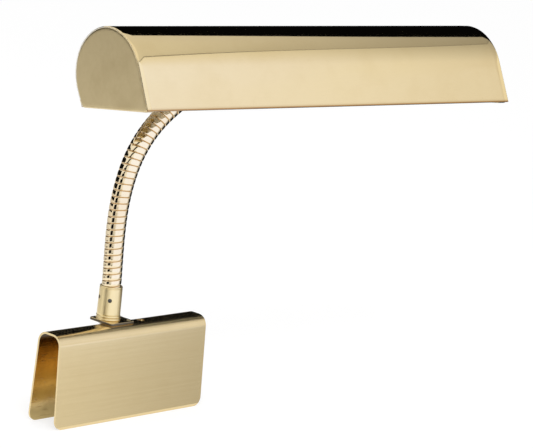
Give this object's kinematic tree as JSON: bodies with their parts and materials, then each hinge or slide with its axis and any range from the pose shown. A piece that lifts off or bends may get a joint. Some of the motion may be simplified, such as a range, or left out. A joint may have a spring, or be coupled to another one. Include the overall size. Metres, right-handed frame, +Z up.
{
  "type": "piano lamp",
  "caption": "Clip-on piano lamp: a folded sheet clip for a music desk, a flexible gooseneck, and a long trough shade that tilts over a tubular bulb, with a rotary switch.",
  "frame": {"origin": "middle of the underside of the clip's top, where the upper edge of a music desk bears", "axes": "+X along the clip, +Y towards the clip's back leg, +Z up"},
  "size_m": [0.4109, 0.1391, 0.2894],
  "materials": {
    "shade_brass": "polished and lacquered sheet",
    "cap_brass": "satin sheet",
    "clip_brass": "fine brushed, lacquered sheet with polished bends",
    "turned_brass": "turned and polished",
    "hose_brass": "polished interlocked strip",
    "steel": "zinc plated",
    "contact_brass": "plain stamped",
    "cap_aluminium": "pressed thread",
    "black_phenolic": "moulded",
    "bushing_plastic": "moulded",
    "bulb_glass": "clear tubular bulb",
    "lead_sleeve": "braided sleeve"
  },
  "bodies": {
    "clip": {"clip_body": "clip_brass", "mounting_plate": "clip_brass", "plate_rivets": "clip_brass", "base_ferrule": "turned_brass", "ferrule_set_screws": "steel", "base_nipple": "turned_brass", "nipple_nut": "turned_brass", "cord_bushing": "bushing_plastic", "neck_root": "hose_brass"},
    "neck_1": {"neck_link_01": "hose_brass"},
    "neck_2": {"neck_link_02": "hose_brass"},
    "neck_3": {"neck_link_03": "hose_brass"},
    "neck_4": {"neck_link_04": "hose_brass"},
    "neck_5": {"neck_link_05": "hose_brass"},
    "neck_6": {"neck_link_06": "hose_brass"},
    "neck_7": {"neck_link_07": "hose_brass", "neck_link_08": "hose_brass"},
    "neck_top": {"neck_link_09": "hose_brass", "neck_link_10": "hose_brass", "neck_link_11": "hose_brass", "upper_ferrule": "turned_brass", "upper_set_screw": "steel", "pivot_tube": "turned_brass", "friction_washer": "bushing_plastic", "spring_washer": "steel", "pivot_nut": "steel"},
    "shade": {"shade_shell": "shade_brass", "end_cap_left": "cap_brass", "end_cap_right": "cap_brass", "pivot_bracket": "steel", "socket_bracket": "steel", "lamp_holder": "black_phenolic", "holder_screws": "steel", "screw_shell": "contact_brass", "centre_contact": "contact_brass", "bulb_glass": "bulb_glass", "bulb_cap": "cap_aluminium", "bulb_insulator": "black_phenolic", "bulb_tip": "contact_brass", "bulb_filament": "steel", "lamp_leads": "lead_sleeve", "switch_body": "black_phenolic", "switch_nut": "turned_brass"},
    "switch": {"switch_spindle": "turned_brass", "switch_knob": "turned_brass"}
  },
  "joints": [
    {"name": "neck_bend", "type": "hinge", "parent": "clip", "child": "neck_1", "pos_m": [-0.0099, 0.0083, 0.032], "axis": [0.1392, 0.9903, 0], "range_deg": [-10, 10]},
    {"name": "neck_swing", "type": "hinge", "parent": "neck_1", "child": "neck_2", "pos_m": [-0.01079, 0.00842, 0.05101], "axis": [0.9899, -0.1391, 0.0262], "range_deg": [-13, 13]},
    {"name": "neck_bend_2", "type": "hinge", "parent": "neck_2", "child": "neck_3", "pos_m": [-0.01128, 0.00849, 0.07003], "axis": [0.1392, 0.9903, 0], "range_deg": [-10, 10]},
    {"name": "neck_swing_2", "type": "hinge", "parent": "neck_3", "child": "neck_4", "pos_m": [-0.01049, 0.00838, 0.08905], "axis": [0.9764, -0.1372, -0.1668], "range_deg": [-13, 13]},
    {"name": "neck_bend_3", "type": "hinge", "parent": "neck_4", "child": "neck_5", "pos_m": [-0.00735, 0.00794, 0.10781], "axis": [0.1392, 0.9903, 0], "range_deg": [-10, 10]},
    {"name": "neck_swing_3", "type": "hinge", "parent": "neck_5", "child": "neck_6", "pos_m": [-0.00134, 0.0071, 0.12585], "axis": [0.8479, -0.1192, -0.5165], "range_deg": [-13, 13]},
    {"name": "neck_bend_4", "type": "hinge", "parent": "neck_6", "child": "neck_7", "pos_m": [0.0084, 0.00573, 0.14214], "axis": [0.1392, 0.9903, 0], "range_deg": [-10, 10]},
    {"name": "neck_bend_5", "type": "hinge", "parent": "neck_7", "child": "neck_top", "pos_m": [0.03678, 0.00174, 0.16693], "axis": [0.1392, 0.9903, 0], "range_deg": [-10, 10]},
    {"name": "shade_tilt", "type": "hinge", "parent": "neck_top", "child": "shade", "pos_m": [0.10126, -0.00732, 0.17949], "axis": [0.9902, -0.1392, 0.007], "range_deg": [-30, 45]},
    {"name": "switch_turn", "type": "hinge", "parent": "shade", "child": "switch", "pos_m": [0.32288, -0.03946, 0.1902], "axis": [0.9902, -0.1392, 0.007], "range_deg": [0, 90]}
  ]
}
